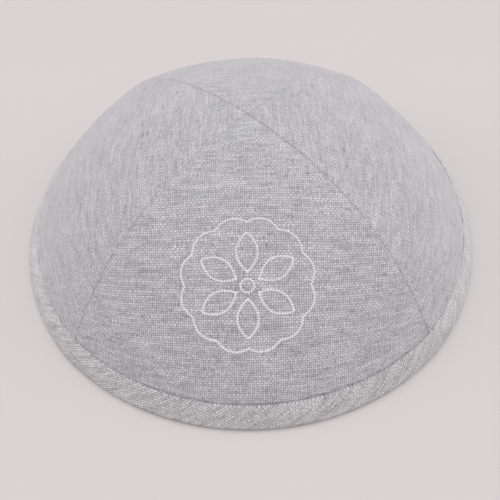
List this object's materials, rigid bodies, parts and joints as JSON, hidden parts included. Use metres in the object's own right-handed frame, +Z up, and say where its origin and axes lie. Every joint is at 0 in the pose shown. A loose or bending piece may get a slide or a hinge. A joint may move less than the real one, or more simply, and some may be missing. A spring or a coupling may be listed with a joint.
{
  "type": "kippah",
  "caption": "Shallow gored linen skullcap with a bias-cut binding folded round its rim, open below for the crown of a head.",
  "frame": {"origin": "on the surface that the rim rests on, below the tip of the crown", "axes": "+Z up through the tip of the crown, -Y towards the front panel, +X towards the right panel as seen from the front"},
  "size_m": [0.1762, 0.1762, 0.053],
  "materials": {
    "panel_linen": "light grey heathered plain-weave linen, matt",
    "binding_linen": "the same linen cut on the bias, matt",
    "thread": "white embroidery thread with a low sheen"
  },
  "bodies": {
    "root": {"front_panel": "panel_linen", "right_panel": "panel_linen", "back_panel": "panel_linen", "left_panel": "panel_linen", "rim_binding": "binding_linen"}
  },
  "joints": []
}
